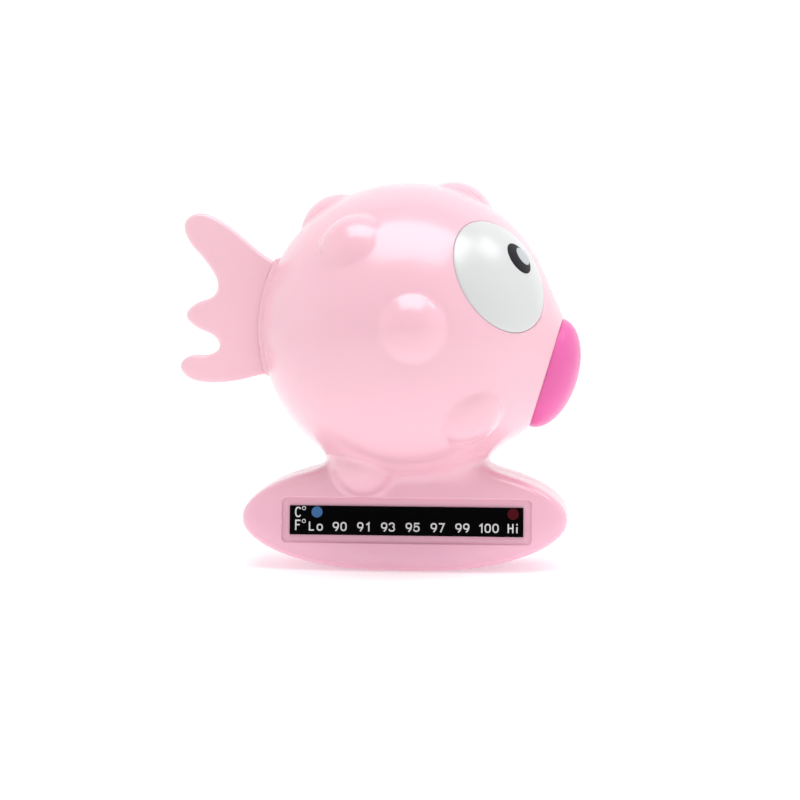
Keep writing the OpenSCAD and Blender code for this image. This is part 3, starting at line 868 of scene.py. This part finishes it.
# Strokes of each character as centre lines in a box one unit wide and one high
GLYPHS = {
    "0": [loop(0.5, 0.5, 0.5, 0.5, power=0.75)],
    "1": [[(0.28, 0.8), (0.66, 1.0), (0.66, 0.0)]],
    "3": [loop(0.46, 0.76, 0.46, 0.24, 160, -60, 14) + loop(0.46, 0.27, 0.52, 0.27, 62, -160, 16)],
    "5": [[(0.93, 1.0), (0.14, 1.0), (0.07, 0.5)] + loop(0.46, 0.32, 0.52, 0.32, 125, -155, 18)],
    "7": [[(0.1, 1.0), (1.0, 1.0), (0.36, 0.0)]],
    "9": [loop(0.5, 0.68, 0.5, 0.32), [(1.0, 0.68), (0.97, 0.45), (0.83, 0.22), (0.55, 0.0)]],
    "C": [loop(0.5, 0.5, 0.5, 0.5, 48, 312, 22, 0.8)],
    "F": [[(0.8, 1.0), (0.05, 1.0), (0.05, 0.0)], [(0.3, 0.52), (0.66, 0.52)]],
    "H": [[(0.05, 0.0), (0.05, 1.0)], [(0.95, 0.0), (0.95, 1.0)], [(0.3, 0.52), (0.7, 0.52)]],
    "L": [[(0.0, 1.0), (0.0, 0.0), (0.75, 0.0)]],
    "i": [[(0.2, 0.0), (0.2, 0.62)], [(0.2, 0.98), (0.2, 1.03)]],
    "o": [loop(0.5, 0.37, 0.5, 0.37)],
    "'": [loop(0.2, 0.93, 0.32, 0.185, steps=12)],
}


def ribbon(line, half_width, low, high):
    """Flat ribbon along a line with mitred corners and square ends, or a ring if the line is closed."""
    p = np.array(line, float)
    closed = np.linalg.norm(p[0] - p[-1]) < 1e-6
    if closed:
        p = p[:-1]
        before, after = p - np.roll(p, 1, 0), np.roll(p, -1, 0) - p
    else:
        steps = np.diff(p, axis=0)
        before, after = np.concatenate([steps[:1], steps]), np.concatenate([steps, steps[-1:]])
        p[0] -= half_width * steps[0] / np.linalg.norm(steps[0])
        p[-1] += half_width * steps[-1] / np.linalg.norm(steps[-1])
    before = before / np.linalg.norm(before, axis=1, keepdims=True)
    after = after / np.linalg.norm(after, axis=1, keepdims=True)
    across = before + after
    across = np.stack([-across[:, 1], across[:, 0]], -1)
    across = across / np.linalg.norm(across, axis=1, keepdims=True)
    slant = np.abs((across * np.stack([-before[:, 1], before[:, 0]], -1)).sum(-1))
    across = across * (half_width / np.maximum(slant, 0.4))[:, None]
    corners = [(p + across, low), (p - across, low), (p - across, high), (p + across, high)]
    n = len(p)
    vertices = np.concatenate([np.column_stack([xy, np.full(n, z)]) for xy, z in corners])
    faces = []
    for i in range(n if closed else n - 1):
        j = (i + 1) % n
        faces += [(k * n + i, k * n + j, (k + 1) % 4 * n + j, (k + 1) % 4 * n + i) for k in range(4)]
    if not closed:
        faces += [(0, n, 2 * n, 3 * n), (4 * n - 1, 3 * n - 1, 2 * n - 1, n - 1)]
    return vertices, faces


# Marks of the strip: text, centre along and up the strip, character width and height, and advance.
# NARROW is how much closer a narrow character pulls the one that follows it.
STROKE, DEGREE_STROKE = 0.42, 0.22
DIGIT_W, DIGIT_H, DIGIT_STEP = 1.9, 2.7, 2.3
UNIT_W, UNIT_H, UNIT_STEP = 1.95, 3.1, 2.15
NARROW = {"1": 0.35}
MARK_ROW, ROW_X = -1.8, 2.1
ROW_TEXTS = [
    ("Lo", 0.3), ("90", 0.1), ("91", 0.1), ("93", -0.1), ("95", -0.1),
    ("97", 0), ("99", 0), ("100", 0.35), ("Hi", 0.75)]
MARKS = [(text, ROW_X + (i - 4) * CELL_PITCH + shift, MARK_ROW, DIGIT_W, DIGIT_H, DIGIT_STEP)
         for i, (text, shift) in enumerate(ROW_TEXTS)]
MARKS += [(unit + "'", -30.9, y, UNIT_W, UNIT_H, UNIT_STEP) for unit, y in (("C", 2.35), ("F", -1.45))]


def make_numerals(materials):
    """Scale printed on the strip: the marks in degrees Fahrenheit, with the unit letters at the left."""
    origin, along, up, out = face_frame()
    height = STRIP_TOP - RECESS_D
    vertices, faces = [], []
    for text, x, y, width, tall, step in MARKS:
        pull = sum(NARROW.get(character, 0) for character in text[:-1])
        left = x - ((len(text) - 1) * step - pull) / 2 - (width - STROKE) / 2
        for character in text:
            stroke = DEGREE_STROKE if character == "'" else STROKE
            for k, line in enumerate(GLYPHS[character]):
                line = [(left + px * (width - STROKE), y + (py - 0.5) * (tall - STROKE)) for px, py in line]
                points, polygons = ribbon(line, stroke / 2, -0.01, 0.04 + 0.004 * k)
                start = len(vertices)
                vertices += [origin + a * along + b * up + (height + c) * out for a, b, c in points]
                faces += [[start + n for n in face] for face in polygons]
            left += step - NARROW.get(character, 0)
    obj = mesh_object("strip_numerals", np.array(vertices), faces, 30)
    finish_piece(obj, materials, "print_white")


def make_cad_finishes(materials):
    """Materials of the CAD nodes that stay as they are."""
    slots = {part["node"]: part["material_slot"] for part in frame["record"]["subparts"]}
    for name, node in frame["nodes"].items():
        dress(node, materials, slots[name])


# ---- stage ----

VIEW_DISTANCE = 0.6
VIEW_AZIMUTH, VIEW_ELEVATION = 5.0, 4.5
VIEW_TARGET = (-0.00197, 0.0, 0.04968)
VIEW_WIDTH = 0.24
FLOOR_FRONT, FLOOR_BACK, SWEEP_R, WALL_TOP, SWEEP_HALF_W = -1.2, 0.35, 0.35, 1.4, 1.6
PAPER_GLOW = 0.31
WORLD_SIDE, WORLD_FRONT, WORLD_TOP = 1.0, 0.51, 0.5
# Softboxes: name, place, size and radiance
BOXES = [("top_box", (0.03, -0.19, 0.67), (0.6, 0.42), 3.5), ("back_box", (0.5, 0.1, 0.67), (0.26, 0.3), 3.0)]


def make_camera():
    """Camera a little towards the head and above, with the fish filling most of the frame's width."""
    a, e = math.radians(VIEW_AZIMUTH), math.radians(VIEW_ELEVATION)
    back = np.array([math.sin(a) * math.cos(e), -math.cos(a) * math.cos(e), math.sin(e)])
    data = bpy.data.cameras.new("camera")
    data.sensor_width = 36
    data.lens = 36 * VIEW_DISTANCE / VIEW_WIDTH
    data.clip_start = 0.01
    camera = add_object("camera", data)
    camera.location = np.array(VIEW_TARGET) + VIEW_DISTANCE * back
    camera.rotation_euler = (math.pi / 2 - e, 0, a)
    bpy.context.scene.camera = camera


def add_light(name, place, target, size, radiance):
    """Rectangular softbox that faces its target. Its radiance is on a scale where white is 1."""
    data = bpy.data.lights.new(name, "AREA")
    data.shape = "RECTANGLE"
    data.size, data.size_y = size
    data.energy = radiance * math.pi * size[0] * size[1]
    light = add_object(name, data)
    light.location = place
    light.rotation_euler = (Vector(target) - Vector(place)).to_track_quat("-Z", "Y").to_euler()


def make_floor():
    """White paper sweep: floor, a bend behind the object, and the wall above it."""
    turns = np.radians(np.linspace(0, 90, 25))
    section = [(FLOOR_FRONT, 0.0)]
    section += [(FLOOR_BACK + SWEEP_R * math.sin(t), SWEEP_R * (1 - math.cos(t))) for t in turns]
    section += [(FLOOR_BACK + SWEEP_R, WALL_TOP)]
    vertices = [(x, y, z) for y, z in section for x in (-SWEEP_HALF_W, SWEEP_HALF_W)]
    faces = [(2 * i, 2 * i + 1, 2 * i + 3, 2 * i + 2) for i in range(len(section) - 1)]
    mesh = bpy.data.meshes.new("sweep")
    mesh.from_pydata(vertices, [], faces)
    mesh.shade_smooth()
    sweep = add_object("sweep", mesh)
    material, tree, shader = new_material("paper")
    vary_colour(tree, shader, add_noise(tree, 3), (0.88, 0.88, 0.88), 0.01)
    shader.inputs["Roughness"].default_value = 0.8
    shader.inputs["Specular IOR Level"].default_value = 0.1
    shader.inputs["Emission Color"].default_value = (1, 1, 1, 1)
    shader.inputs["Emission Strength"].default_value = PAPER_GLOW
    mesh.materials.append(material)


def make_world():
    """Soft surround: bright at the sides, dimmer behind the camera and overhead."""
    world = bpy.data.worlds.new("studio")
    world.use_nodes = True
    tree = world.node_tree
    place = tree.nodes.new("ShaderNodeTexCoord")
    parts = tree.nodes.new("ShaderNodeSeparateXYZ")
    tree.links.new(place.outputs["Generated"], parts.inputs["Vector"])
    front, top = tree.nodes.new("ShaderNodeValToRGB"), tree.nodes.new("ShaderNodeValToRGB")
    front_share, top_share = WORLD_FRONT / WORLD_SIDE, WORLD_TOP / WORLD_SIDE
    shift = tree.nodes.new("ShaderNodeMapRange")
    shift.inputs["From Min"].default_value = -1
    tree.links.new(parts.outputs["Y"], shift.inputs["Value"])
    tree.links.new(shift.outputs["Result"], front.inputs["Fac"])
    tree.links.new(parts.outputs["Z"], top.inputs["Fac"])
    front.color_ramp.elements[0].color = (front_share, front_share, front_share, 1)
    front.color_ramp.elements[0].position = 0.08
    front.color_ramp.elements[1].color = (1, 1, 1, 1)
    front.color_ramp.elements[1].position = 0.4
    top.color_ramp.elements[0].color = (1, 1, 1, 1)
    top.color_ramp.elements[0].position = 0.35
    top.color_ramp.elements[1].color = (top_share, top_share, top_share, 1)
    top.color_ramp.elements[1].position = 0.7
    both = tree.nodes.new("ShaderNodeMixRGB")
    both.blend_type = "MULTIPLY"
    both.inputs["Fac"].default_value = 1
    tree.links.new(front.outputs["Color"], both.inputs["Color1"])
    tree.links.new(top.outputs["Color"], both.inputs["Color2"])
    background = tree.nodes["Background"]
    tree.links.new(both.outputs["Color"], background.inputs["Color"])
    background.inputs["Strength"].default_value = WORLD_SIDE
    bpy.context.scene.world = world
    bpy.context.scene.view_settings.view_transform = "Standard"


def make_stage():
    """Camera, paper sweep, surround and two softboxes overhead that shine straight down."""
    make_camera()
    make_floor()
    make_world()
    for name, place, size, radiance in BOXES:
        add_light(name, place, (place[0], place[1], 0), size, radiance)


materials = build_materials()
make_stage()
make_shells(materials)
make_tail(materials)
make_mouth(materials)
make_eye(materials, -1, "right")
make_eye(materials, 1, "left")
make_numerals(materials)
make_cad_finishes(materials)
